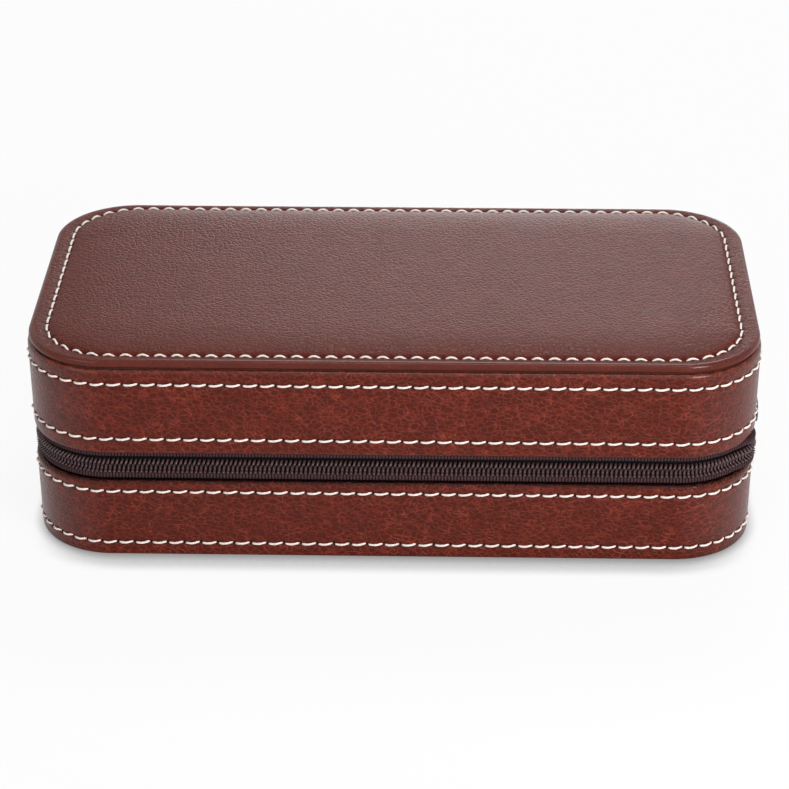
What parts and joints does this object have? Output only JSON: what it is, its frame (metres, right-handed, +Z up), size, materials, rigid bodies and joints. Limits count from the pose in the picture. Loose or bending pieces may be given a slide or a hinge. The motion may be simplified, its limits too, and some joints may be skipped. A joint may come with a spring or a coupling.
{
  "type": "watch box",
  "caption": "Zip-around travel box with a hinged padded lid, rounded corners, contrast stitching and lined bays holding removable watch cushions.",
  "frame": {"origin": "centre of the flat underside", "axes": "+X to the right along the long side, +Y to the rear hinge, +Z up"},
  "size_m": [0.2183, 0.1104, 0.0662],
  "materials": {
    "grained_leather": "pebble-grained brown leather, semi-matt",
    "grey_board": "plain grey board",
    "suede_lining": "brushed suede cloth",
    "cushion_suede": "brushed suede cloth",
    "foam": "soft foam",
    "zip_tape": "ribbed woven tape",
    "zip_coil": "nylon coil",
    "zip_metal": "dark painted die-cast metal"
  },
  "bodies": {
    "base": {"base_bottom_cover": "grained_leather", "base_floor_board": "grey_board", "base_wall_core": "grey_board", "base_wall_cover": "grained_leather", "base_wall_lining": "suede_lining", "base_floor_lining": "suede_lining", "bay_divider_left": "suede_lining", "bay_divider_right": "suede_lining", "zip_tape_base": "zip_tape", "zip_coil_base": "zip_coil", "zip_top_stop_base": "zip_coil", "hinge_strip": "grained_leather"},
    "lid": {"lid_wall_core": "grey_board", "lid_wall_cover": "grained_leather", "lid_top_board": "grey_board", "lid_wall_lining": "suede_lining", "lid_ceiling_lining": "suede_lining", "lid_panel_cover": "grained_leather", "lid_panel_padding": "foam", "zip_tape_lid": "zip_tape", "zip_coil_lid": "zip_coil", "zip_top_stop_lid": "zip_coil"},
    "zip_slider": {"zip_slider_body": "zip_metal"},
    "zip_puller": {"zip_puller": "zip_metal"},
    "cushion_left": {"cushion_left_cover": "cushion_suede", "cushion_left_filling": "foam"},
    "cushion_middle": {"cushion_middle_cover": "cushion_suede", "cushion_middle_filling": "foam"},
    "cushion_right": {"cushion_right_cover": "cushion_suede", "cushion_right_filling": "foam"}
  },
  "joints": [
    {"name": "lid_hinge", "type": "hinge", "parent": "base", "child": "lid", "pos_m": [0, 0.05222, 0.0306], "axis": [-1, 0, 0], "range_deg": [0, 110], "deforming": ["hinge_strip"]},
    {"name": "zip_slider_travel", "type": "slide", "parent": "base", "child": "zip_slider", "axis": [0, -1, 0], "range_m": [0, 0.038]},
    {"name": "zip_puller_swing", "type": "hinge", "parent": "zip_slider", "child": "zip_puller", "pos_m": [0.10872, 0.014, 0.0306], "axis": [0, 0, 1], "range_deg": [0, 165]},
    {"name": "cushion_left_lift", "type": "slide", "parent": "base", "child": "cushion_left", "axis": [0, 0, 1], "range_m": [0, 0.012]},
    {"name": "cushion_middle_lift", "type": "slide", "parent": "base", "child": "cushion_middle", "axis": [0, 0, 1], "range_m": [0, 0.012]},
    {"name": "cushion_right_lift", "type": "slide", "parent": "base", "child": "cushion_right", "axis": [0, 0, 1], "range_m": [0, 0.012]}
  ]
}
